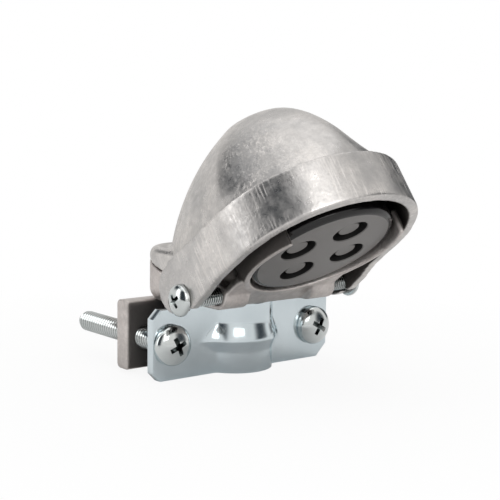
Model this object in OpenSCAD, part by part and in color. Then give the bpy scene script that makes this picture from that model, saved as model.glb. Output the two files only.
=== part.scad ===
// Clamp-on service entrance weatherhead for half-inch conduit.
// Millimetres. Origin on the conduit's axis at the clamp's mid-height, +Z up, front of the hood toward -Y.

/* [Conduit clamp] */
// Radius of the round seat that grips the conduit
seat_r = 9; // [8.5:0.1:9.5]
// Thickness of the strap's sheet
strap_t = 2.8; // [2:0.1:3.2]
// Length of the strap from end to end
strap_w = 67; // [64:1:70]
// Height of the strap
strap_h = 21; // [18:0.5:21]
// Distance between the two clamp screws
screw_pitch_x = 54.5; // [52:0.5:56]
// How far the back of the strap stands in front of the conduit's axis
strap_back = 2.5; // [2:0.1:3]
// Corner cut of the strap
strap_chamfer = 4.5; // [1:0.5:6]
// Height of the pressed bead across the saddle
bead_rise = 1.2; // [0.6:0.1:1.4]

/* [Clamp screws] */
// Major diameter of the clamp screws
clamp_screw_d = 6.35; // [5:0.05:6.5]
// Length of a clamp screw under its head
clamp_screw_len = 47.6; // [36:0.1:50]
// Head diameter of a clamp screw
clamp_head_d = 12; // [10:0.1:13]
// Head height of a clamp screw
clamp_head_h = 4.3; // [3:0.1:5]

/* [Body] */
// Thickness of the clamp bar, front to back
bar_t = 6.2; // [5:0.1:7]
// Length of the clamp bar from end to end
bar_w = 66.8; // [64:0.2:68]
// Height of the bar's top edge
bar_top = 11.4; // [11:0.1:12]
// Height of the bar's bottom edge
bar_bottom = -9.4; // [-12:0.1:-8]
// Half of the width of the rear wall
wall_half_w = 27; // [26:0.1:27.5]
// Corner radius of the rear wall, seen from above
wall_corner_r = 11.8; // [8:0.1:14]
// Height of the top of the rear wall
wall_top = 24.5; // [22:0.1:26]
// Wall thickness of the casting
body_wall = 2.6; // [2:0.1:3]
// Slope of the parting line, down toward the front
parting_slope = 16; // [12:0.5:18]
// Gap left between body and hood along the parting line
parting_gap = 0.4; // [0.3:0.1:0.8]

/* [Insulator] */
// Diameter of the insulator disc
disc_d = 42; // [41:0.1:42.4]
// Thickness of the insulator disc
disc_t = 4.5; // [4:0.1:4.8]
// Side of the square on which the four wire knockouts lie
knockout_side = 15.2; // [13:0.1:17]
// Outer radius of the groove round each knockout
knockout_r = 5.1; // [4.5:0.1:5.6]
// Depth of that groove
knockout_depth = 2.6; // [1:0.1:3]

/* [Hood] */
// Tilt of the opening from horizontal
tilt = 36.3; // [34:0.1:38]
// Height of the hood screws above the clamp's mid-height
hinge_z = 15.5; // [15.3:0.1:16.5]
// Distance of the hood screws in front of the conduit's axis
hinge_front = 18.6; // [18:0.1:19.5]
// Sideways offset at which the hood sits between the bosses
hood_shift = -1.9; // [-2:0.1:0]
// Outer radius of the rim band round the opening
band_r = 30.2; // [30:0.1:31]
// Wall thickness of the rim band
band_wall = 3.2; // [2.4:0.1:3.2]
// Height of the rim band
band_h = 12.2; // [11:0.1:13]
// Thickness of the two lugs
lug_t = 3.3; // [2.8:0.1:3.4]
// Half of the distance over the outside of the two lugs
lug_half_w = 31.35; // [31:0.05:32]
// Height of the dome above the band, square to the opening
dome_rise = 33; // [29:0.5:35]
// Half of the width of the dome where it meets the band
dome_half_w = 28.2; // [27.8:0.1:28.8]
// Wall thickness of the dome
dome_wall = 2.2; // [1.8:0.1:2.4]

/* [Hood screws] */
// Major diameter of the hood screws
hood_screw_d = 4.83; // [4:0.01:5]
// Length of a hood screw under its head
hood_screw_len = 19; // [17:0.5:20]
// Head diameter of a hood screw
hood_head_d = 9; // [8:0.1:10]
// Head height of a hood screw
hood_head_h = 2.8; // [2:0.1:3.2]

/* [Hidden] */
$fn = 64;
eps = 0.02;

// Clamp
saddle_r = seat_r + strap_t;
strap_front = strap_back + strap_t;
fold_in = 1.6;
fold_out = fold_in + strap_t;
screw_x = screw_pitch_x / 2;
strap_hole_r = clamp_screw_d / 2 + 0.35;
bead_centre = 2;
bead_above = 5;
bead_below = 3.6;
bead_z = -1;

// Screws: the plain shank is the thread's mean size, and a tapped hole clears it
clamp_shank_r = clamp_screw_d / 2 - 0.12;
tapped_r = clamp_screw_d / 2 + 0.13;
hood_shank_r = hood_screw_d / 2 - 0.1;
boss_hole_r = hood_screw_d / 2 + 0.12;
lug_hole_r = hood_screw_d / 2 + 0.3;

// Body
bar_front = seat_r - 0.95;
bar_back = bar_front + bar_t;
bar_edge = 1.5;
floor_z = bar_top - 0.4;
floor_t = 2.6;
bottom_edge = 4;
wire_hole_r = seat_r - 1.2;
hinge_y = -hinge_front;
jog_y = hinge_y + 12.6;
boss_half = 21;
boss_r = 4;
boss_hole_depth = 12.5;
cheek_t = 2.6;
cheek_x = 18.5;

// Opening frame: origin at the hood screws, local -Y forward along the opening, local +Z square to it
disc_r = disc_d / 2;
disc_y = -24.4;
disc_face = -1.6;
cup_gap = 0.35;
cup_in = disc_r + cup_gap;
cup_out = disc_r + 2.9;
cup_rim = -4;
cup_shelf = 2.1;
cup_half_angle = 118;
knockout_turn = 34;

// Hood
band_y = -24.7;
band_in = band_r - band_wall;
band_grip = 3;
lug_in = lug_half_w - lug_t;
lug_r = 7.2;
lug_y = 1.7;
lug_z = 4.5;
dome_top_y = -19.8;
dome_front_y = -51.8;
dome_back_y = 27.6;
dome_mid_y = disc_y;
dome_foot = -8;
skirt_z = 27.4;
skirt_edge = 2.4;
skirt_top = 1.7;
slope_reach = 90;

module at_opening() {
    translate([0, hinge_y, hinge_z]) rotate([-tilt, 0, 0]) children();
}

// Everything above the sloping parting surface, moved up by lift
module above_parting(lift) {
    translate([0, bar_back, wall_top + lift]) rotate([parting_slope, 0, 0])
        translate([-slope_reach, -slope_reach, 0]) cube(2 * slope_reach);
}

// Rectangle with four round corners, centred
module round_rect(w, h, r) {
    square([w - 2 * r, h], center = true);
    square([w, h - 2 * r], center = true);
    for (x = [-1, 1], y = [-1, 1]) translate([x * (w / 2 - r), y * (h / 2 - r)]) circle(r);
}

// Half section of a round-bottomed corner post: radius r, height h, bottom edge radius e
module post_section(r, h, e) {
    square([r - e, h]);
    translate([0, e]) square([r, h - e]);
    translate([r - e, e]) intersection() {
        circle(e);
        translate([0, -e]) square([e, e]);
    }
}

// Solid tub: straight at the front, two round corners at the back, one rounded edge all round the bottom
module tub(half_w, back, front, r, h, e) {
    for (x = [-1, 1]) translate([x * (half_w - r), back - r, 0]) rotate_extrude() post_section(r, h, e);
    translate([-(half_w - r), back - r, 0]) rotate([90, 0, 90])
        linear_extrude(2 * (half_w - r)) post_section(r, h, e);
    translate([0, back - r, 0]) rotate([90, 0, 0]) linear_extrude(back - r - front) {
        translate([half_w - r, 0]) post_section(r, h, e);
        mirror([1, 0]) translate([half_w - r, 0]) post_section(r, h, e);
        translate([r - half_w, 0]) square([2 * (half_w - r), h]);
    }
}

// Bar with its two tapped holes and the shallow seat for the conduit
module clamp_bar() {
    translate([-bar_w / 2, (bar_front + bar_back) / 2, (bar_top + bar_bottom) / 2]) rotate([90, 0, 90])
        linear_extrude(bar_w) round_rect(bar_t, bar_top - bar_bottom, bar_edge);
}

// Open tub behind the bosses: floor, rear wall and the two side walls
module rear_tub() {
    difference() {
        translate([0, 0, floor_z]) tub(wall_half_w, bar_back, jog_y, wall_corner_r, 20, bottom_edge);
        translate([0, 0, floor_z + floor_t])
            tub(wall_half_w - body_wall, bar_back - body_wall, jog_y + body_wall,
                wall_corner_r - body_wall, 20, bottom_edge - body_wall);
        above_parting(0);
    }
}

// Narrow floor and cheeks that carry the bosses and the cup
module front_floor() {
    translate([-boss_half, hinge_y, floor_z + 0.5]) cube([2 * boss_half, jog_y + 1 - hinge_y, floor_t - 0.5]);
    translate([-boss_half, hinge_y, hinge_z]) rotate([0, 90, 0]) cylinder(r = boss_r, h = 2 * boss_half);
    for (x = [-cheek_x, cheek_x - cheek_t]) translate([x, 0, 0]) rotate([90, 0, 90]) linear_extrude(cheek_t)
        polygon([[jog_y + 1, floor_z + 1], [jog_y + 1, floor_z + 5], [hinge_y + 3, floor_z + 9.4],
                 [hinge_y - 4, floor_z + 13], [hinge_y - 7, floor_z + 8], [hinge_y, floor_z + 1.2]]);
}

// Wall round the insulator, open at the front, with a shelf behind the disc
module cup() {
    back = disc_face + disc_t;
    at_opening() translate([0, disc_y, 0]) rotate([0, 0, 90 - cup_half_angle])
        rotate_extrude(angle = 2 * cup_half_angle)
            polygon([[cup_in - 0.5, cup_rim], [cup_in + 1.5, cup_rim], [cup_out, cup_rim + 4],
                     [cup_out, back + cup_shelf], [cup_in - 3.9, back + cup_shelf], [cup_in - 3.9, back],
                     [cup_in - 0.5, back]]);
}

module body() {
    color([0.66, 0.65, 0.63]) difference() {
        union() {
            clamp_bar();
            rear_tub();
            front_floor();
            cup();
        }
        // Seat of the insulator
        at_opening() translate([0, disc_y, cup_rim - 4]) cylinder(r = cup_in, h = disc_face + disc_t - cup_rim + 4);
        // Way for the wires out of the conduit, and the conduit's own seat on the bar
        translate([0, 0, floor_z - 1]) cylinder(r = wire_hole_r, h = floor_t + 3);
        translate([0, 0, bar_bottom - 1]) cylinder(r = seat_r, h = bar_top - bar_bottom + 1);
        // Wires pass forward through the front wall of the tub
        translate([cheek_t - cheek_x, jog_y - 3, floor_z + floor_t]) cube([2 * (cheek_x - cheek_t), 9, 20]);
        for (side = [-1, 1]) {
            translate([side * screw_x, bar_front - 1, 0]) rotate([-90, 0, 0])
                cylinder(r = tapped_r, h = bar_t + 2);
            translate([side * (boss_half + 1), hinge_y, hinge_z]) rotate([0, -side * 90, 0])
                cylinder(r = boss_hole_r, h = boss_hole_depth + 1);
        }
    }
}

// Dome: stacked sections square to the opening's axis, u from 0 at the band to 1 at the crown
function dome_n(u, wall) = band_h + (dome_rise - wall) * u;
function dome_w(u, wall) = (dome_half_w - wall) * sqrt(1 - pow(u, 1.3));
function dome_front(u, wall) = dome_top_y + (dome_front_y + wall - dome_top_y) * sqrt(1 - pow(u, 1.55));
function dome_back(u, wall) = dome_top_y + (dome_back_y - wall - dome_top_y) * sqrt(1 - pow(u, 1.3));
function dome_mid(u) = dome_top_y + (dome_mid_y - dome_top_y) * sqrt(1 - u * u);
function power(v, e) = sign(v) * pow(abs(v), 2 / e);
function dome_point(u, a, wall) =
    let(front = sin(a) < 0,
        e = front ? 2 - 0.48 * min(1, 4 * u) : 2.6,
        reach = front ? dome_mid(u) - dome_front(u, wall) : dome_back(u, wall) - dome_mid(u))
    [dome_w(u, wall) * power(cos(a), e), dome_mid(u) + reach * power(sin(a), e)];

// Solid loft of the dome, with a straight foot down to z = foot
module dome_solid(wall, foot) {
    sides = 56;
    rings = 16;
    crown = 0.995;
    us = [for (i = [0:rings]) crown * (1 - pow(1 - i / rings, 1.8))];
    points = [
        for (j = [0:sides - 1]) let(p = dome_point(0, j * 360 / sides, wall)) [p[0], p[1], foot],
        for (u = us, j = [0:sides - 1]) let(p = dome_point(u, j * 360 / sides, wall)) [p[0], p[1], dome_n(u, wall)],
        [0, dome_top_y, dome_n(1, wall)]
    ];
    top = len(points) - 1;
    faces = [
        [for (j = [0:sides - 1]) j],
        for (i = [0:rings], j = [0:sides - 1]) let(k = (j + 1) % sides)
            [i * sides + j, (i + 1) * sides + j, (i + 1) * sides + k],
        for (i = [0:rings], j = [0:sides - 1]) let(k = (j + 1) % sides)
            [i * sides + j, (i + 1) * sides + k, i * sides + k],
        for (j = [0:sides - 1]) [(rings + 1) * sides + j, top, (rings + 1) * sides + (j + 1) % sides]
    ];
    polyhedron(points, faces);
}

// Outline of the band seen square to the opening: round front, sides running back to the lugs
module band_plan(r, side_w) {
    translate([0, band_y]) circle(r, $fn = 96);
    polygon([[-r, band_y], [-side_w, 0], [-side_w, 30], [side_w, 30], [side_w, 0], [r, band_y]]);
}

// Side view of band and lug: local Y runs back, local Z square to the opening
module band_side() {
    polygon([[0, lug_z - lug_r + 0.4], [-2, -4], [-9, -3.4], [-15, -2.4], [-56, -1.8], [-56, band_h], [0, band_h]]);
    translate([lug_y, lug_z]) circle(lug_r);
    translate([0, lug_z]) square([lug_y, band_h - lug_z - 0.5]);
}

module hood() {
    color([0.72, 0.71, 0.69]) difference() {
        union() {
            at_opening() translate([hood_shift, 0, 0]) intersection() {
                translate([0, 0, -6]) linear_extrude(band_h + 6) difference() {
                    band_plan(band_r, lug_half_w);
                    band_plan(band_in, lug_in);
                }
                translate([-40, 0, 0]) rotate([90, 0, 90]) linear_extrude(80) band_side();
            }
            intersection() {
                at_opening() translate([hood_shift, 0, 0]) dome_solid(0, dome_foot);
                above_parting(parting_gap);
                at_opening() translate([-40, -80, band_h - band_grip]) cube([80, 80 + lug_y, 80]);
            }
            intersection() {
                at_opening() translate([hood_shift, 0, 0]) dome_solid(0, dome_foot);
                above_parting(parting_gap);
                translate([-40, hinge_y - 2, 0]) cube([80, 60, 80]);
            }
            intersection() {
                translate([0, 0, skirt_z]) mirror([0, 0, 1])
                    tub(wall_half_w, bar_back, hinge_y + 4, wall_corner_r, skirt_z - hinge_z, skirt_edge);
                above_parting(parting_gap);
            }
        }
        at_opening() translate([hood_shift, 0, 0]) dome_solid(dome_wall, dome_foot - 30);
        translate([0, 0, skirt_z - skirt_top]) mirror([0, 0, 1])
            tub(wall_half_w - body_wall, bar_back - body_wall, hinge_y + 4, wall_corner_r - body_wall, 20, 1);
        translate([-50, hinge_y, hinge_z]) rotate([0, 90, 0]) cylinder(r = lug_hole_r, h = 100);
    }
}

module insulator() {
    edge = 1.5;
    half = knockout_side / 2;
    color([0.16, 0.15, 0.15]) at_opening() translate([0, disc_y, disc_face]) difference() {
        rotate_extrude() {
            square([disc_r - edge, disc_t]);
            translate([0, edge]) square([disc_r, disc_t - edge]);
            translate([disc_r - edge, edge]) circle(edge);
        }
        rotate([0, 0, -knockout_turn]) for (x = [-half, half], y = [-half, half]) translate([x, y, -1])
            difference() {
                cylinder(r = knockout_r, h = knockout_depth + 1);
                cylinder(r = knockout_r - 1.6, h = knockout_depth + 2);
            }
    }
}

// Strap seen from above: two ears, two inside folds and the round saddle
module strap_plan() {
    fold_y = -strap_front - fold_in;
    fold_x = sqrt(pow(saddle_r + fold_in, 2) - pow(fold_y, 2));
    mouth = sqrt(pow(seat_r, 2) - pow(strap_back, 2));
    difference() {
        union() {
            translate([-strap_w / 2, -strap_front]) square([strap_w, strap_t]);
            intersection() {
                circle(saddle_r, $fn = 96);
                translate([-saddle_r, -saddle_r - 1]) square([2 * saddle_r, saddle_r + 1 - strap_back]);
            }
            polygon([[-fold_x, -strap_front], [-fold_x, fold_y], [0, fold_y], [fold_x, fold_y],
                     [fold_x, -strap_front]]);
        }
        for (side = [-1, 1]) translate([side * fold_x, fold_y]) circle(fold_in);
        circle(seat_r, $fn = 96);
        translate([-mouth, -strap_back - eps]) square([2 * mouth, strap_back + 5]);
    }
}

module clamp_strap() {
    half_w = strap_w / 2;
    half_h = strap_h / 2;
    c = strap_chamfer;
    color([0.72, 0.78, 0.82]) difference() {
        intersection() {
            union() {
                translate([0, 0, -half_h]) linear_extrude(strap_h) strap_plan();
                // Bead pressed out of the saddle
                translate([0, -bead_centre, 0]) rotate_extrude()
                    polygon([[saddle_r - bead_centre - 1, bead_z + bead_above],
                             [saddle_r - bead_centre + bead_rise, bead_z + 0.3],
                             [saddle_r - bead_centre + bead_rise, bead_z - 0.3],
                             [saddle_r - bead_centre - 1, bead_z - bead_below]]);
            }
            translate([0, 10, 0]) rotate([90, 0, 0]) linear_extrude(40)
                polygon([[-half_w, c - half_h], [-half_w, half_h - c], [c - half_w, half_h], [half_w - c, half_h],
                         [half_w, half_h - c], [half_w, c - half_h], [half_w - c, -half_h], [c - half_w, -half_h]]);
            translate([-half_w, -saddle_r - 5, -half_h]) cube([strap_w, saddle_r + 5 - strap_back, strap_h]);
        }
        translate([0, 0, -half_h - 1]) cylinder(r = seat_r, h = strap_h + 2, $fn = 96);
        for (side = [-1, 1]) translate([side * screw_x, -20, 0]) rotate([-90, 0, 0])
            cylinder(r = strap_hole_r, h = 40);
    }
}

// Domed head standing on z = 0 and pointing up, with a cross recess
module screw_head(d, h, recess) {
    dome = (d * d / 4 + h * h) / (2 * h) + 0.4;
    difference() {
        intersection() {
            cylinder(r = d / 2, h = h);
            translate([0, 0, h - dome]) sphere(dome, $fn = 96);
        }
        for (turn = [0, 90]) rotate([0, 0, turn]) translate([-recess / 2, -recess / 9, h * 0.35])
            cube([recess, recess / 4.5, h]);
        translate([0, 0, h * 0.3]) cylinder(r = recess / 5, h = h);
    }
}

// Screw along +Z with its head's seat at z = 0 and its point at z = -len
module screw(r, len, head_d, head_h, recess) {
    tip = r * 0.25;
    screw_head(head_d, head_h, recess);
    translate([0, 0, tip - len]) cylinder(r = r, h = len - tip + head_h * 0.2);
    translate([0, 0, -len]) cylinder(r1 = r - tip, r2 = r, h = tip);
}

module clamp_screw(side) {
    color([0.78, 0.8, 0.8]) translate([side * screw_x, -strap_front, 0]) rotate([90, 0, 0])
        screw(clamp_shank_r, clamp_screw_len, clamp_head_d, clamp_head_h, 6.4);
}

module clamp_screw_left() { clamp_screw(-1); }
module clamp_screw_right() { clamp_screw(1); }

module hood_screw(side) {
    color([0.8, 0.79, 0.75]) translate([hood_shift + side * lug_half_w, hinge_y, hinge_z])
        rotate([0, side * 90, 0]) screw(hood_shank_r, hood_screw_len, hood_head_d, hood_head_h, 5.2);
}

module hood_screw_left() { hood_screw(-1); }
module hood_screw_right() { hood_screw(1); }

body();
hood();
insulator();
clamp_strap();
clamp_screw_left();
clamp_screw_right();
hood_screw_left();
hood_screw_right();
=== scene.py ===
import math

import bmesh
import bpy
from mathutils import Matrix, Vector


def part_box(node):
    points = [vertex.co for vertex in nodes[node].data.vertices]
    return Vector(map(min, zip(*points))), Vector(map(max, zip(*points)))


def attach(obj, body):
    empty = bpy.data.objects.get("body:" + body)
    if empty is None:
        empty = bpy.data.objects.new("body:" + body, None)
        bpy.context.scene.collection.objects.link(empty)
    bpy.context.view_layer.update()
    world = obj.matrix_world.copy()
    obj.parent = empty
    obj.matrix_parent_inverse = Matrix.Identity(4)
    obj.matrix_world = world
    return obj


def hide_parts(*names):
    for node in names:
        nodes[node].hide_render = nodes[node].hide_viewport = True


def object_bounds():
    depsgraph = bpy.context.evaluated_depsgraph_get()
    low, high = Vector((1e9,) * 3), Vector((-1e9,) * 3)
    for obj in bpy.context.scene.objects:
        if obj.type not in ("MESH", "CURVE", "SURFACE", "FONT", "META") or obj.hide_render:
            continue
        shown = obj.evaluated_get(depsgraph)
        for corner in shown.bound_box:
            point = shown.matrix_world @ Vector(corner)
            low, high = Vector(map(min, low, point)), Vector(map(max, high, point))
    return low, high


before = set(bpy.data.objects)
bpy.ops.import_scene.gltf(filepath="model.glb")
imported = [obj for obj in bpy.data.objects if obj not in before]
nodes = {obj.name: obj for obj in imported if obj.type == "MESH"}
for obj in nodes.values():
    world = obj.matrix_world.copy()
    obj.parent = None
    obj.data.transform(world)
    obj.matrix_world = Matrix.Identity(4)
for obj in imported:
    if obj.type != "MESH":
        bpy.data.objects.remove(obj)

cad_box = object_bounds()


# --------------------------------------------------------------------------------------------------
# Body: one sand-grey aluminium die casting. The floor, rear wall, clamp bar, bosses, the land and
# the cup round the insulator are all one piece. It comes out of the tumbler with soft edges and a
# dull cloudy skin.
# --------------------------------------------------------------------------------------------------
tilt = math.radians(36.3)
opening = Matrix.Translation((0.0, -0.0186, 0.0155)) @ Matrix.Rotation(-tilt, 4, "X")
disc_radius = 0.0216
disc_thickness = 0.0045
disc_y = -0.0248
disc_face = -0.0016
seat_radius = disc_radius + 0.0004
cup_radius = 0.02395
land_height = disc_face - 0.0002


def to_piece(name, shell, place=None):
    """Turns a bmesh into a piece, its place given by a matrix."""
    if place is not None:
        bmesh.ops.transform(shell, matrix=place, verts=shell.verts)
    mesh = bpy.data.meshes.new(name)
    shell.to_mesh(mesh)
    shell.free()
    piece = bpy.data.objects.new(name, mesh)
    bpy.context.scene.collection.objects.link(piece)
    return piece


def bake(piece):
    """Turns the piece's modifiers into plain mesh."""
    bpy.context.view_layer.update()
    finished = piece.evaluated_get(bpy.context.evaluated_depsgraph_get())
    mesh = bpy.data.meshes.new_from_object(finished)
    piece.modifiers.clear()
    piece.data = mesh


def cut(piece, tool):
    """Cuts tool out of piece, then throws tool away."""
    taken = piece.modifiers.new("cut", "BOOLEAN")
    taken.operation = "DIFFERENCE"
    taken.solver = "EXACT"
    taken.use_self = True
    taken.object = tool
    bake(piece)
    bpy.data.objects.remove(tool)


def merged_copy(node, name):
    """A CAD node's mesh with its loose triangles joined up."""
    shell = bmesh.new()
    shell.from_mesh(nodes[node].data)
    bmesh.ops.remove_doubles(shell, verts=shell.verts, dist=1e-6)
    return to_piece(name, shell)


def joined(name, parts):
    """One piece from several."""
    shell = bmesh.new()
    for part in parts:
        shell.from_mesh(part.data)
        bpy.data.objects.remove(part)
    return to_piece(name, shell)


def shade_smooth(piece):
    for face in piece.data.polygons:
        face.use_smooth = True


def cast_skin(piece, grain, rounds, kept, lie=None):
    """Gives a piece the soft edges and flowing inside corners of a casting. The grain lies along
    the frame lie, and kept is the share of the faces that stays."""
    if lie is not None:
        piece.data.transform(lie.inverted())
    skin = piece.modifiers.new("skin", "REMESH")
    skin.mode = "VOXEL"
    skin.voxel_size = grain
    soften = piece.modifiers.new("soften", "SMOOTH")
    soften.factor = 0.5
    soften.iterations = rounds
    thin = piece.modifiers.new("thin", "DECIMATE")
    thin.ratio = kept
    bake(piece)
    if lie is not None:
        piece.data.transform(lie)
    shade_smooth(piece)


def plug(name, radius, low, high, place, centre_y=0.0, steps=96):
    """Solid round plug along Z from low to high."""
    shell = bmesh.new()
    bmesh.ops.create_cone(shell, cap_ends=True, segments=steps, radius1=radius, radius2=radius,
                          depth=high - low)
    bmesh.ops.translate(shell, verts=shell.verts, vec=(0.0, centre_y, (low + high) / 2))
    return to_piece(name, shell, place)


def block(name, low, high, place):
    """Solid block between two corners."""
    shell = bmesh.new()
    bmesh.ops.create_cube(shell, size=1.0)
    bmesh.ops.scale(shell, verts=shell.verts, vec=[b - a for a, b in zip(low, high)])
    bmesh.ops.translate(shell, verts=shell.verts, vec=[(a + b) / 2 for a, b in zip(low, high)])
    return to_piece(name, shell, place)


def fill_holes(shell):
    """Closes every open loop of a bmesh with a face."""
    open_edges = [edge for edge in shell.edges if edge.is_boundary]
    bmesh.ops.holes_fill(shell, edges=open_edges, sides=0)


def trim(shell, spot, outward):
    """Takes away all of a bmesh that lies outward of a plane."""
    everything = shell.verts[:] + shell.edges[:] + shell.faces[:]
    bmesh.ops.bisect_plane(shell, geom=everything, plane_co=spot, plane_no=outward,
                           clear_outer=True)


def of_kind(items, kind):
    """The verts, or the edges, among what a bmesh operator made."""
    return [item for item in items if isinstance(item, kind)]


def cup_wall(left, right):
    """Curved wall of the cup round the back of the disc, its rim rising toward the open front.
    Left and right are how far it reaches on each side, counted from the back."""
    root, shoulder, top = 0.003, -0.001, -0.0055
    taper = 0.0006
    rim_slope = math.radians(3.8)
    shell = bmesh.new()
    outline = ((seat_radius, top), (cup_radius - taper, top), (cup_radius, shoulder),
               (cup_radius, root), (seat_radius, root))
    verts = [shell.verts.new((radius * math.sin(right), radius * math.cos(right), z))
             for radius, z in outline]
    section = shell.faces.new(verts)
    bmesh.ops.spin(shell, geom=[section, *section.verts, *section.edges], cent=(0, 0, 0),
                   axis=(0, 0, 1), angle=left + right, steps=96, use_merge=False)
    fill_holes(shell)
    bmesh.ops.translate(shell, verts=shell.verts, vec=(0, disc_y, 0))
    trim(shell, (0, 0, land_height), (0, math.sin(rim_slope), -math.cos(rim_slope)))
    fill_holes(shell)
    bmesh.ops.recalc_face_normals(shell, faces=shell.faces)
    return to_piece("cup_wall", shell, opening)


def land_plate(half_side, half_back, thickness):
    """Flat land round the back of the disc, level with its face."""
    front, back = disc_y + 0.009, 0.004
    outline = ((-half_side, front), (-half_side, 0.0), (-half_back, back), (half_back, back),
               (half_side, 0.0), (half_side, front))
    shell = bmesh.new()
    face = shell.faces.new([shell.verts.new((x, y, land_height)) for x, y in outline])
    risen = bmesh.ops.extrude_face_region(shell, geom=[face])["geom"]
    bmesh.ops.translate(shell, verts=of_kind(risen, bmesh.types.BMVert), vec=(0, 0, thickness))
    bmesh.ops.recalc_face_normals(shell, faces=shell.faces)
    return to_piece("land", shell, opening)


def add_node(tree, kind, inputs, **settings):
    """A new shader node. Each of its inputs is a plain value or another node's output."""
    node = tree.nodes.new("ShaderNode" + kind)
    for label, value in settings.items():
        setattr(node, label, value)
    for label, value in inputs.items():
        if isinstance(value, bpy.types.NodeSocket):
            tree.links.new(value, node.inputs[label])
        else:
            node.inputs[label].default_value = value
    return node


def new_group(name, values):
    """A node group that turns a vector and some values into a mask."""
    group = bpy.data.node_groups.new(name, "ShaderNodeTree")
    group.interface.new_socket("Vector", in_out="INPUT", socket_type="NodeSocketVector")
    for label, value in values.items():
        socket = group.interface.new_socket(label, in_out="INPUT", socket_type="NodeSocketFloat")
        socket.default_value = value
    group.interface.new_socket("Mask", in_out="OUTPUT", socket_type="NodeSocketFloat")
    given = group.nodes.new("NodeGroupInput").outputs
    result = group.nodes.new("NodeGroupOutput").inputs
    return group, given, result


# Cloudy patches: a slow blotchy mask from 0 to 1
clouds, given, result = new_group("clouds", {"Scale": 60.0})
patch = add_node(clouds, "TexNoise", {"Vector": given["Vector"], "Scale": given["Scale"],
                                      "Detail": 5.0, "Roughness": 0.6})
patch_edge = add_node(clouds, "MapRange", {"Value": patch.outputs["Fac"], "From Min": 0.35,
                                           "From Max": 0.65})
clouds.links.new(patch_edge.outputs["Result"], result["Mask"])

# Hairlines: fine parallel scratches along the third axis, in patches
hairlines, given, result = new_group("hairlines", {"Width": 2500.0, "Run": 0.04, "Patches": 90.0})
stretch = add_node(hairlines, "CombineXYZ", {"X": 1.0, "Y": 1.0, "Z": given["Run"]})
drawn = add_node(hairlines, "VectorMath", {0: given["Vector"], 1: stretch.outputs["Vector"]},
                 operation="MULTIPLY")
fine = add_node(hairlines, "TexNoise", {"Vector": drawn.outputs["Vector"], "Scale": given["Width"],
                                        "Detail": 3.0, "Roughness": 0.7})
fine_edge = add_node(hairlines, "MapRange", {"Value": fine.outputs["Fac"], "From Min": 0.5,
                                             "From Max": 0.7})
where = add_node(hairlines, "TexNoise", {"Vector": given["Vector"], "Scale": given["Patches"],
                                         "Detail": 2.0})
where_edge = add_node(hairlines, "MapRange", {"Value": where.outputs["Fac"], "From Min": 0.42,
                                              "From Max": 0.6})
both = add_node(hairlines, "Math", {0: fine_edge.outputs["Result"],
                                    1: where_edge.outputs["Result"]}, operation="MULTIPLY")
hairlines.links.new(both.outputs["Value"], result["Mask"])


def use_group(tree, group, vector, **values):
    """The mask that a group gives at a vector."""
    return add_node(tree, "Group", {"Vector": vector, **values}, node_tree=group).outputs["Mask"]


def times(tree, first, second):
    """The product of two masks, or of a mask and a number."""
    return add_node(tree, "Math", {0: first, 1: second}, operation="MULTIPLY").outputs["Value"]


def plus_share(tree, first, share, second):
    """A node that adds a share of first to second."""
    return add_node(tree, "Math", {0: first, 1: share, 2: second}, operation="MULTIPLY_ADD")


def spread(tree, mask, low, high):
    """A mask stretched to run from low to high."""
    wide = add_node(tree, "MapRange", {"Value": mask, "To Min": low, "To Max": high})
    return wide.outputs["Result"]


def mix_colours(tree, factor, first, second):
    """First where the factor is 0, second where it is 1."""
    return add_node(tree, "Mix", {0: factor, 6: first, 7: second}, data_type="RGBA").outputs[2]


def add_bump(tree, height, strength, distance):
    bump = add_node(tree, "Bump", {"Height": height, "Strength": strength, "Distance": distance})
    tree.links.new(bump.outputs["Normal"], tree.nodes["Principled BSDF"].inputs["Normal"])


def new_material(name):
    """A material with its node tree and the inputs of its shader."""
    material = bpy.data.materials.new(name)
    material.use_nodes = True
    tree = material.node_tree
    return material, tree, tree.nodes["Principled BSDF"].inputs


def object_spot(tree):
    """The spot on the piece that is being shaded."""
    return add_node(tree, "TexCoord", {}).outputs["Object"]


def painted_shade_mask(tree):
    """The painted shade that the piece's own attribute recess carries."""
    return add_node(tree, "Attribute", {}, attribute_name="recess").outputs["Fac"]


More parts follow.
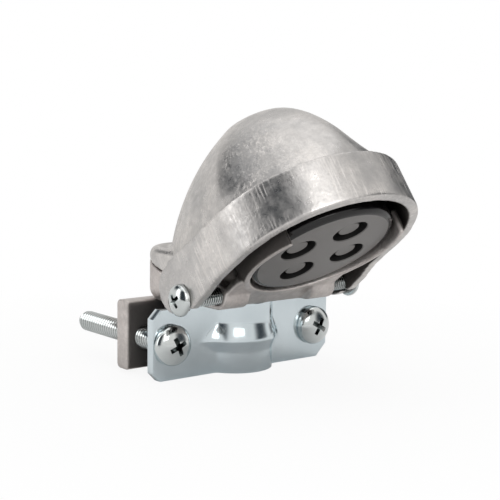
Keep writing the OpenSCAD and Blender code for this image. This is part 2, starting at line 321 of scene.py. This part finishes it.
def cast_aluminium(name, light, dark, shade_colour, roughness, scratch):
    """Die-cast aluminium: blotchy grey with fine scratches square to the opening. Where the
    piece's attribute recess is 1, the colour is painted shade, darkened toward the shade colour,
    and the skin is duller."""
    material, tree, shader = new_material(name)
    shader["Metallic"].default_value = 1.0
    place = object_spot(tree)
    square = add_node(tree, "Mapping", {"Vector": place, "Rotation": (tilt, 0.0, 0.0)})
    askew = add_node(tree, "Mapping", {"Vector": place, "Rotation": (
        tilt, math.radians(55), math.radians(20))})
    spot = square.outputs["Vector"]
    broad = use_group(tree, clouds, spot, Scale=70.0)
    small = use_group(tree, clouds, spot, Scale=420.0)
    speck = use_group(tree, clouds, spot, Scale=1500.0)
    lines = use_group(tree, hairlines, spot, Width=1500.0, Run=0.06, Patches=75.0)
    swirl = use_group(tree, hairlines, askew.outputs["Vector"], Width=1500.0, Run=0.12,
                      Patches=60.0)
    recess = painted_shade_mask(tree)

    shadow = (*(0.72 * c for c in dark), 1.0)
    bright = (*(min(1.0, 1.22 * c) for c in light), 1.0)
    base = mix_colours(tree, broad, (*dark, 1.0), (*light, 1.0))
    base = mix_colours(tree, times(tree, small, 0.3), base, shadow)
    base = mix_colours(tree, times(tree, speck, 0.25), base, shadow)
    base = mix_colours(tree, times(tree, swirl, 0.5 * scratch), base, shadow)
    base = mix_colours(tree, times(tree, lines, scratch), base, bright)
    # Painted shade: the colour darkens to the shade colour where the attribute recess is 1.
    base = mix_colours(tree, recess, base, (*shade_colour, 1.0))
    tree.links.new(base, shader["Base Color"])

    worn = spread(tree, small, roughness, roughness + 0.14)
    scored = plus_share(tree, lines, 0.45, worn)
    scored.use_clamp = True
    recess_roughness = 0.65
    dull = add_node(tree, "Mix", {0: recess, 2: scored.outputs["Value"], 3: recess_roughness})
    tree.links.new(dull.outputs[0], shader["Roughness"])

    grain = add_node(tree, "TexNoise", {"Vector": spot, "Scale": 1100.0, "Detail": 4.0})
    height = plus_share(tree, lines, -0.3, grain.outputs["Fac"])
    add_bump(tree, height.outputs["Value"], 0.3, 0.00018)
    return material


def mark_painted_shade(piece, depth_at):
    """Writes the attribute recess, from 0 to 1 a point, the painted shade that the piece's material
    reads.
    """
    mesh = piece.data
    values = mesh.attributes.new("recess", "FLOAT", "POINT")
    marks = [depth_at(vert.co, vert.normal) for vert in mesh.vertices]
    values.data.foreach_set("value", marks)


def dress(piece, material, body, node):
    """Gives a finished piece its material, and lets it stand for a CAD node on that node's body."""
    piece.data.materials.clear()
    piece.data.materials.append(material)
    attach(piece, body)
    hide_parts(node)


def ease(value, low, high):
    """0 at low, 1 at high, smooth between."""
    share = min(1.0, max(0.0, (value - low) / (high - low)))
    return share * share * (3 - 2 * share)


def body_painted_shade(spot, normal):
    """Painted shade on the cup's outer wall, in the narrow gap inside the hood, and on the side of
    the clamp bar that looks at the strap, in the strap's shadow."""
    at = opening.inverted() @ spot
    facing = opening.inverted().to_3x3() @ normal
    radius = math.hypot(at.x, at.y - disc_y)
    on_wall = ease(radius, 0.0228, 0.0234) * (1 - ease(radius, 0.0246, 0.0256))
    upright = ease(1 - abs(facing.z), 0.3, 0.7)
    behind_lip = ease(-at.y, 0.002, 0.006)
    on_bar = ease(0.012 - spot.z, 0.0, 0.001) * ease(spot.y, 0.006, 0.007)
    facing_strap = ease(-normal.y, 0.6, 0.9)
    return max(on_wall * upright * behind_lip, 0.9 * on_bar * facing_strap)


# The rim and lip give way to a land level with the disc, and both are bored for the disc's seat
casting = merged_copy("body", "body_casting")
outside = -0.009
old_rim_radius = 0.0244
land_half_back = 0.012
cut(casting, plug("old_rim", old_rim_radius, outside, land_height, opening, disc_y + 0.0002))
cut(casting, block("under_land", (-land_half_back, -0.004, -0.006),
                   (land_half_back, 0.008, land_height), opening))
land = land_plate(half_side=0.0205, half_back=land_half_back, thickness=0.0024)
for part in (casting, land):
    cut(part, plug("seat", seat_radius, outside, disc_face + disc_thickness, opening, disc_y))

# A bar runs along the hinge between the bosses, and closes the inner ends of their holes
bar_half_length = 0.0126
bar_half_width = 0.0026
hole_end_radius = 0.0028
hole_end_length = 0.0012
hinge_bar = block("hinge_bar", (-bar_half_length, -bar_half_width, land_height),
                  (bar_half_length, bar_half_width, bar_half_width), opening)
sideways = opening @ Matrix.Rotation(math.pi / 2, 4, "Y")
hole_ends = [plug("hole_end", hole_end_radius, low, low + hole_end_length, sideways, steps=48)
             for low in (-0.0133, 0.0121)]
cup = cup_wall(left=math.radians(118), right=math.radians(126))
casting = joined("body_casting", [casting, land, hinge_bar, *hole_ends, cup])
cast_skin(casting, grain=0.00036, rounds=8, kept=0.8)
# Painted shade on the cup's outer wall and on the bar's face under the strap.
mark_painted_shade(casting, body_painted_shade)
body_metal = cast_aluminium("body_aluminium", light=(0.78, 0.73, 0.705), dark=(0.55, 0.515, 0.5),
                            shade_colour=(0.13, 0.12, 0.115), roughness=0.38, scratch=0.5)
dress(casting, body_metal, "casting", "body")


# --------------------------------------------------------------------------------------------------
# Insulator: a disc moulded in near-black plastic with a satin face and a polished rounded rim. Four
# wire knockouts are marked by deep grooves, each round a plug that lies a little below the face.
# --------------------------------------------------------------------------------------------------
def lathe(outline, steps):
    """Turns an outline of (radius, height) points into a closed round solid about Z."""
    shell = bmesh.new()
    verts = [shell.verts.new((radius, 0.0, height)) for radius, height in outline]
    edges = [shell.edges.new(pair) for pair in zip(verts, verts[1:])]
    bmesh.ops.spin(shell, geom=verts + edges, cent=(0, 0, 0), axis=(0, 0, 1), angle=2 * math.pi,
                   steps=steps, use_merge=True)
    bmesh.ops.remove_doubles(shell, verts=shell.verts, dist=1e-7)
    bmesh.ops.recalc_face_normals(shell, faces=shell.faces)
    return shell


def arc_points(centre, radius, start, end, count):
    """Points of an arc in an outline, angles in degrees."""
    angles = [math.radians(start + (end - start) * n / count) for n in range(count + 1)]
    return [(centre[0] + radius * math.cos(angle), centre[1] + radius * math.sin(angle))
            for angle in angles]


def shaded(piece, angle):
    """Smooth shading that stays sharp where faces meet by more than an angle in degrees."""
    shade_smooth(piece)
    piece.data.set_sharp_from_angle(angle=math.radians(angle))
    return piece


def moulded_plastic(name, colour, roughness):
    """Moulded plastic with a faint even grain."""
    material, tree, shader = new_material(name)
    place = object_spot(tree)
    haze = use_group(tree, clouds, place, Scale=90.0)
    darker = (*(0.82 * c for c in colour), 1.0)
    tree.links.new(mix_colours(tree, haze, darker, (*colour, 1.0)), shader["Base Color"])
    tree.links.new(spread(tree, haze, roughness, roughness + 0.08), shader["Roughness"])
    grain = add_node(tree, "TexNoise", {"Vector": place, "Scale": 2500.0})
    add_bump(tree, grain.outputs["Fac"], 0.08, 0.0001)
    return material


rim_edge = 0.002
back_edge = 0.0004
front_arc = arc_points((disc_radius - rim_edge, rim_edge), rim_edge, -90, 0, 12)
back_arc = arc_points((disc_radius - back_edge, disc_thickness - back_edge), back_edge, 0, 90, 4)
disc_outline = [(0.0, 0.0), *front_arc, *back_arc, (0.0, disc_thickness)]
disc = to_piece("insulator_disc", lathe(disc_outline, 128))

knockout_spacing = 0.0152
knockout_radius = 0.0051
knockout_turn = math.radians(-34)
plug_radius = knockout_radius - 0.002
groove_depth = 0.0026
sunk = 0.0009
lip, plug_lip = 0.00025, 0.0002
above_face = -0.001
ring_outline = [(0.0, above_face), (knockout_radius + lip, above_face),
                (knockout_radius + lip, 0.0), (knockout_radius, lip),
                (knockout_radius, groove_depth),
                (plug_radius, groove_depth), (plug_radius, sunk + plug_lip),
                (plug_radius - plug_lip, sunk), (0.0, sunk)]
for column in (-0.5, 0.5):
    for row in (-0.5, 0.5):
        spot = Matrix.Translation((column * knockout_spacing, row * knockout_spacing, 0.0))
        place = Matrix.Rotation(knockout_turn, 4, "Z") @ spot
        cut(disc, to_piece("groove", lathe(ring_outline, 48), place))
disc.data.transform(opening @ Matrix.Translation((0.0, disc_y, disc_face)))
shaded(disc, 35)

face_black = moulded_plastic("insulator_black", (0.16, 0.152, 0.148), 0.3)
dress(disc, face_black, "casting", "insulator")
# Painted shade: the faces inside the knockout grooves are painted near black.
disc.data.materials.append(moulded_plastic("insulator_groove_painted_shade", (0.004, 0.004, 0.004), 0.6))
# Partly painted: the rim's low roughness is its polish. Its colour, far darker than the face of the
# same plastic, is painted shade and painted reflection of the hood's dark inside.
disc.data.materials.append(moulded_plastic("insulator_rim_painted_shade", (0.006, 0.0055, 0.006), 0.1))
shaded_groove_index, shaded_rim_index = 1, 2
for face in disc.data.polygons:
    at = opening.inverted() @ face.center
    below = at.z - disc_face
    if math.hypot(at.x, at.y - disc_y) > disc_radius - rim_edge * 0.97:
        face.material_index = shaded_rim_index
    elif 0.0003 < below < groove_depth + 0.0003 and abs(below - sunk) > 0.0001:
        face.material_index = shaded_groove_index


# --------------------------------------------------------------------------------------------------
# Hood: the second aluminium casting. A thin dome grows out of a straight rim band, and two lugs
# carry it on the hood screws. Tumbling leaves it brighter than the body, with fine scratches across
# the band.
# --------------------------------------------------------------------------------------------------
hood_middle = opening @ Vector((-0.0019, -0.0235, 0.008))


def hood_painted_shade(spot, normal):
    """Painted shade on the inside of the dome and the band."""
    return ease(-(spot - hood_middle).normalized().dot(normal), 0.05, 0.45)


hood = merged_copy("hood", "hood_casting")
cast_skin(hood, grain=0.00042, rounds=11, kept=0.6, lie=opening)
# Painted shade inside the dome and the band.
mark_painted_shade(hood, hood_painted_shade)
hood_metal = cast_aluminium("hood_aluminium", light=(0.79, 0.76, 0.735), dark=(0.54, 0.53, 0.525),
                            shade_colour=(0.1, 0.092, 0.088), roughness=0.26, scratch=0.75)
dress(hood, hood_metal, "hood", "hood")


# --------------------------------------------------------------------------------------------------
# Clamp strap: pressed from 2.8 mm steel strip and bright zinc plated. The ears are flat, the saddle
# fits the conduit, and a bead pressed out of the saddle stiffens it and runs out on the ears.
# --------------------------------------------------------------------------------------------------
strap_low, strap_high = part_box("clamp_strap")
strap_gauge = 0.0028
ear_y = strap_high[1] - strap_gauge
half_strap_w = (strap_high[0] - strap_low[0]) / 2
half_strap_h = (strap_high[2] - strap_low[2]) / 2
saddle_radius = 0.0118
bead_rise = -strap_low[1] - saddle_radius
ridge_z = -0.001
slope_above = 0.0062
slope_below = 0.0032
fold_radius = 0.0016
spread_left, spread_right = 0.008, 0.0026
ear_steps, fold_steps, saddle_steps = 14, 12, 24
row_height = 0.00035


def bead_share(z):
    """How far the bead stands out at a height, from 0 to 1: a long hollow slope above its ridge, a
    short one below."""
    above = (z - ridge_z) / slope_above
    if above >= 0:
        return (1 - ease(above, 0.0, 1.0)) if above < 1 else 0.0
    return max(0.0, 1 - (ridge_z - z) / slope_below) ** 1.3


def strap_half(radius, fold, side, z):
    """Front edge of one side of the strap at a height, from the ear's end to near the middle: the
    flat ear, the fold and the saddle."""
    fold_x = math.sqrt((radius + fold) ** 2 - (ear_y - fold) ** 2)
    meet = math.atan2(fold_x, fold - ear_y)
    half = [(half_strap_w + (fold_x - half_strap_w) * n / ear_steps, ear_y)
            for n in range(ear_steps)]
    for n in range(fold_steps):
        angle = meet * n / fold_steps
        half.append((fold_x - fold * math.sin(angle), ear_y - fold + fold * math.cos(angle)))
    for n in range(saddle_steps):
        angle = meet * (1 - n / saddle_steps)
        half.append((radius * math.sin(angle), -radius * math.cos(angle)))
    return [(side * x, y, z) for x, y in half]


def strap_row(z):
    """Front edge of the whole strap seen from above, at a height."""
    share = bead_share(z)
    radius = saddle_radius + bead_rise * share
    left = strap_half(radius, fold_radius + spread_left * share, -1, z)
    right = strap_half(radius, fold_radius + spread_right * share, 1, z)
    return left + [(0.0, -radius, z)] + right[::-1]


near_enough = 0.0001
heights = [ridge_z]
while heights[0] > -half_strap_h + near_enough:
    heights.insert(0, max(-half_strap_h, heights[0] - row_height))
while heights[-1] < half_strap_h - near_enough:
    heights.append(min(half_strap_h, heights[-1] + row_height))
sheet = bmesh.new()
row = [sheet.verts.new(spot) for spot in strap_row(heights[0])]
edges = [sheet.edges.new(pair) for pair in zip(row, row[1:])]
for z in heights[1:]:
    risen = bmesh.ops.extrude_edge_only(sheet, edges=edges)["geom"]
    row = sorted(of_kind(risen, bmesh.types.BMVert), key=lambda vert: vert.co.x)
    fresh = set(row)
    edges = [edge for edge in of_kind(risen, bmesh.types.BMEdge) if fresh.issuperset(edge.verts)]
    for vert, spot in zip(row, strap_row(z)):
        vert.co = spot
corner_cuts = ((-1, 1, 0.0026), (-1, -1, 0.0026), (1, 1, 0.0008), (1, -1, 0.004))
for side_x, side_z, corner in corner_cuts:
    spot = (side_x * (half_strap_w - corner), 0, side_z * half_strap_h)
    trim(sheet, spot, (side_x, 0, side_z))
bmesh.ops.recalc_face_normals(sheet, faces=sheet.faces)
if sum(face.normal.y for face in sheet.faces) > 0:
    bmesh.ops.reverse_faces(sheet, faces=sheet.faces)
strap = to_piece("strap_pressing", sheet)
gauge = strap.modifiers.new("gauge", "SOLIDIFY")
gauge.thickness = strap_gauge
gauge.offset = -1.0
gauge.use_even_offset = True
bake(strap)
screw_x = 0.02725
hole_radius = 0.0035
hole_reach = 0.02
for side in (-1, 1):
    hole_place = Matrix.Translation((side * screw_x, 0.0, 0.0))
    hole_place = hole_place @ Matrix.Rotation(math.pi / 2, 4, "X")
    cut(strap, plug("hole", hole_radius, -hole_reach, hole_reach, hole_place, steps=48))
rolled_edge = strap.modifiers.new("edge", "BEVEL")
rolled_edge.width = 0.00035
rolled_edge.segments = 2
rolled_edge.limit_method = "ANGLE"
rolled_edge.angle_limit = math.radians(50)
bake(strap)
shaded(strap, 40)


def zinc_plate(name, light, dark, smooth, worn):
    """Bright zinc plating: slightly blue, with faint clouds in its shine, and painted shade at the
    roots of threads and in the screws' recesses, where the piece's attribute recess is 1. Its
    roughness runs from smooth to worn."""
    material, tree, shader = new_material(name)
    shader["Metallic"].default_value = 1.0
    place = object_spot(tree)
    broad = use_group(tree, clouds, place, Scale=80.0)
    small = use_group(tree, clouds, place, Scale=300.0)
    plated = mix_colours(tree, broad, (*dark, 1.0), (*light, 1.0))
    # Painted shade at the thread roots and in the cross recesses.
    plated = mix_colours(tree, painted_shade_mask(tree), plated, (0.05, 0.062, 0.06, 1.0))
    tree.links.new(plated, shader["Base Color"])
    tree.links.new(spread(tree, small, smooth, worn), shader["Roughness"])
    add_bump(tree, broad, 0.05, 0.0001)
    return material


strap_zinc = zinc_plate("strap_zinc", light=(0.75, 0.83, 0.87), dark=(0.66, 0.74, 0.78),
                        smooth=0.13, worn=0.19)
dress(strap, strap_zinc, "strap", "clamp_strap")


# --------------------------------------------------------------------------------------------------
# Clamp screws: two quarter-inch screws with domed cross-recess heads, cold headed and thread
# rolled, bright zinc. They pass through the strap's ears and thread into the clamp bar.
# --------------------------------------------------------------------------------------------------
def screw_head(width, height, recess):
    """Domed head standing on Z = 0, with a rounded rim and a cross recess."""
    radius = width / 2
    rim_height = height * 0.28
    dome_height = height - rim_height
    angles = [math.radians(degrees) for degrees in range(0, 90, 6)]
    crown = [(radius * math.sin(angle), rim_height + dome_height * math.cos(angle))
             for angle in angles]
    rim = [(radius, rim_height), (radius, rim_height * 0.35), (radius - rim_height * 0.3, 0.0)]
    head = to_piece("head", lathe([*crown, *rim, (0.0, 0.0)], 64))
    for turn in (0.0, math.pi / 2):
        wing = bmesh.new()
        bmesh.ops.create_cube(wing, size=1.0)
        for vert in wing.verts:
            top = vert.co.z > 0
            reach = recess * (0.5 if top else 0.22)
            half = recess * (0.115 if top else 0.07)
            vert.co = (math.copysign(reach, vert.co.x), math.copysign(half, vert.co.y),
                       height * 1.15 if top else height * 0.3)
        cut(head, to_piece("wing", wing, Matrix.Rotation(turn, 4, "Z")))
    return head


def thread(radius, pitch, length):
    """Rolled thread about Z from 0 down to -length, with a blunt lead at the point."""
    depth = pitch * 0.55
    crest, flank, root = pitch * 0.12, pitch * 0.5, pitch * 0.62
    steps = 32
    outline = []
    for turn in range(int(length / pitch) + 3):
        z = pitch * (1.5 - turn)
        outline += [(radius, z), (radius, z - crest), (radius - depth, z - flank),
                    (radius - depth, z - root)]
    shell = bmesh.new()
    verts = [shell.verts.new((across, 0.0, z)) for across, z in outline]
    edges = [shell.edges.new(pair) for pair in zip(verts, verts[1:])]
    bmesh.ops.spin(shell, geom=verts + edges, cent=(0, 0, 0), axis=(0, 0, 1),
                   dvec=(0, 0, pitch / steps), angle=2 * math.pi, steps=steps, use_merge=False)
    bmesh.ops.remove_doubles(shell, verts=shell.verts, dist=2e-6)
    trim(shell, (0, 0, 0), (0, 0, 1))
    trim(shell, (0, 0, -length), (0, 0, -1))
    fill_holes(shell)
    lead_length = pitch * 1.4
    for vert in shell.verts:
        lead = (vert.co.z + length) / lead_length
        if lead < 1:
            limit = radius - depth * 1.2 * (1 - max(lead, 0))
            across = math.hypot(vert.co.x, vert.co.y)
            if across > limit:
                vert.co.x *= limit / across
                vert.co.y *= limit / across
    bmesh.ops.recalc_face_normals(shell, faces=shell.faces)
    return to_piece("thread", shell)


def make_screw(name, place, radius, pitch, length, head_width, head_height, recess):
    """A whole screw, its head standing on the origin of place."""
    head = screw_head(head_width, head_height, recess)
    screw = joined(name, [head, thread(radius, pitch, length)])

    # Painted shade at the roots of the thread and in the cross recess of the head.
    def screw_painted_shade(spot, normal):
        across = math.hypot(spot.x, spot.y)
        if spot.z < -0.0001:
            root = ease(radius - across, pitch * 0.04, pitch * 0.32)
            return root * ease(spot.z + length, 0.0001, pitch)
        return 0.8 if across < recess * 0.3 and spot.z < head_height * 0.4 else 0.0

    mark_painted_shade(screw, screw_painted_shade)
    screw.data.transform(place)
    return shaded(screw, 38)


screw_zinc = zinc_plate("screw_zinc", light=(0.74, 0.77, 0.77), dark=(0.62, 0.66, 0.66),
                        smooth=0.1, worn=0.2)
for side, degrees in (("left", 24), ("right", 61)):
    node = "clamp_screw_" + side
    low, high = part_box(node)
    turn = Matrix.Rotation(math.radians(degrees), 4, "Z")
    at = Matrix.Translation(((low[0] + high[0]) / 2, ear_y, (low[2] + high[2]) / 2))
    at = at @ Matrix.Rotation(math.pi / 2, 4, "X") @ turn
    screw = make_screw(node + "_threaded", at, radius=0.003175, pitch=0.00127,
                       length=high[1] - ear_y, head_width=high[0] - low[0],
                       head_height=ear_y - low[1], recess=0.0068)
    dress(screw, screw_zinc, node, node)


# --------------------------------------------------------------------------------------------------
# Hood screws: two number ten screws of the same plated steel, made as the clamp screws are. One
# goes through each lug into its boss, and the hood swings on them.
# --------------------------------------------------------------------------------------------------
hood_low, hood_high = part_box("hood")
visible_length = 0.0159
for side, sign, seat_x, degrees in (("left", -1, hood_low[0], 38), ("right", 1, hood_high[0], 10)):
    node = "hood_screw_" + side
    low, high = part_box(node)
    turn = Matrix.Rotation(math.radians(degrees), 4, "Z")
    at = Matrix.Translation((seat_x, (low[1] + high[1]) / 2, (low[2] + high[2]) / 2))
    at = at @ Matrix.Rotation(sign * math.pi / 2, 4, "Y") @ turn
    screw = make_screw(node + "_threaded", at, radius=0.002415, pitch=0.000794,
                       length=visible_length, head_width=high[1] - low[1], head_height=0.0027,
                       recess=0.0052)
    dress(screw, screw_zinc, node, node)


# --------------------------------------------------------------------------------------------------
# Studio: a plain pale floor that keeps the shadow and turns white round it, a bright surround with
# four dark gaps for the metal to mirror, and three soft lamps.
# --------------------------------------------------------------------------------------------------
floor_shell = bmesh.new()
bmesh.ops.create_grid(floor_shell, x_segments=2, y_segments=2, size=3.0)
floor = to_piece("floor", floor_shell, Matrix.Translation((0, 0, cad_box[0][2])))
floor_paint, tree, floor_shader = new_material("floor_paint")
floor_shader["Base Color"].default_value = (0.88, 0.88, 0.88, 1.0)
floor_shader["Roughness"].default_value = 0.9
floor_shader["Specular IOR Level"].default_value = 0.0
white = add_node(tree, "Emission", {})
seen = add_node(tree, "LightPath", {})
away = add_node(tree, "VectorMath", {0: object_spot(tree)}, operation="LENGTH")
fade = add_node(tree, "MapRange", {"Value": away.outputs["Value"], "From Min": 0.03,
                                   "From Max": 0.16, "To Min": 0.9})
share = times(tree, seen.outputs["Is Camera Ray"], fade.outputs["Result"])
painted = tree.nodes["Principled BSDF"].outputs["BSDF"]
floor_mix = add_node(tree, "MixShader", {"Fac": share, 1: painted, 2: white.outputs["Emission"]})
tree.links.new(floor_mix.outputs["Shader"], tree.nodes["Material Output"].inputs["Surface"])
floor.data.materials.append(floor_paint)

world = bpy.data.worlds.new("studio")
bpy.context.scene.world = world
world.use_nodes = True
sky = world.node_tree
direction = add_node(sky, "TexCoord", {}).outputs["Generated"]
tone = None
gaps = (((-0.98, -0.09, 0.15), 0.4, 19, 36),
        ((0.7, -0.71, 0.0), 0.45, 8, 27),
        ((0.95, 0.24, 0.2), 1.0, 11, 27),
        ((-0.36, 0.69, 0.62), 0.8, 15, 29))
for toward, flatness, inner_edge, outer_edge in gaps:
    level = add_node(sky, "VectorMath", {0: direction, 1: (1.0, 1.0, flatness)},
                     operation="MULTIPLY")
    unit = add_node(sky, "VectorMath", {0: level.outputs["Vector"]}, operation="NORMALIZE")
    near = add_node(sky, "VectorMath", {0: unit.outputs["Vector"], 1: toward},
                    operation="DOT_PRODUCT")
    gap = add_node(sky, "MapRange", {
        "Value": near.outputs["Value"],
        "From Min": math.cos(math.radians(outer_edge)),
        "From Max": math.cos(math.radians(inner_edge)),
        "To Min": 1.0,
        "To Max": 0.0,
    }, interpolation_type="SMOOTHSTEP").outputs["Result"]
    tone = gap if tone is None else times(sky, tone, gap)
surround = sky.nodes["Background"]
surround.inputs["Strength"].default_value = 0.8
mirrored = mix_colours(sky, tone, (0.05, 0.06, 0.07, 1.0), (1.0, 0.985, 0.965, 1.0))
sky.links.new(mirrored, surround.inputs["Color"])
backdrop = add_node(sky, "Background", {"Color": (1.0, 1.0, 1.0, 1.0)})
ray = add_node(sky, "LightPath", {})
either = add_node(sky, "MixShader", {"Fac": ray.outputs["Is Camera Ray"],
                                     1: surround.outputs["Background"],
                                     2: backdrop.outputs["Background"]})
sky.links.new(either.outputs["Shader"], sky.nodes["World Output"].inputs["Surface"])


def softbox(name, spot, width, height, watts):
    """Soft lamp turned to the middle of the part and hidden from the camera."""
    middle = Vector((0, -0.015, 0.02))
    lamp = bpy.data.lights.new(name, "AREA")
    lamp.shape = "RECTANGLE"
    lamp.size = width
    lamp.size_y = height
    lamp.energy = watts
    stand = bpy.data.objects.new(name, lamp)
    bpy.context.scene.collection.objects.link(stand)
    stand.visible_camera = False
    stand.location = spot
    stand.rotation_euler = (middle - Vector(spot)).to_track_quat("-Z", "Y").to_euler()


softbox("front", (-0.25, -0.6, 0.45), width=0.4, height=0.5, watts=1.2)
softbox("top", (-0.1, 0.1, 0.7), width=0.9, height=0.9, watts=1.2)
softbox("left", (-0.55, 0.3, 0.22), width=0.25, height=0.5, watts=0.45)

scene = bpy.context.scene
scene.view_settings.view_transform = "Standard"

lens = bpy.data.cameras.new("camera")
lens.sensor_width = 36.0
lens.lens = 82.4256
lens.clip_start = 0.01
lens.clip_end = 20.0
camera = bpy.data.objects.new("camera", lens)
scene.collection.objects.link(camera)
stand_point = (-0.214824, -0.271448, 0.068865)
yaw, pitch, roll = 0.682836, 0.125213, 0.0148288
ahead = Vector((math.sin(yaw) * math.cos(pitch), math.cos(yaw) * math.cos(pitch), -math.sin(pitch)))
across = Vector((math.cos(yaw), -math.sin(yaw), 0.0))
upward = across.cross(ahead)
right = across * math.cos(roll) + upward * math.sin(roll)
up = upward * math.cos(roll) - across * math.sin(roll)
camera.matrix_world = Matrix((
    (right.x, up.x, -ahead.x, stand_point[0]),
    (right.y, up.y, -ahead.y, stand_point[1]),
    (right.z, up.z, -ahead.z, stand_point[2]),
    (0.0, 0.0, 0.0, 1.0),
))
scene.camera = camera
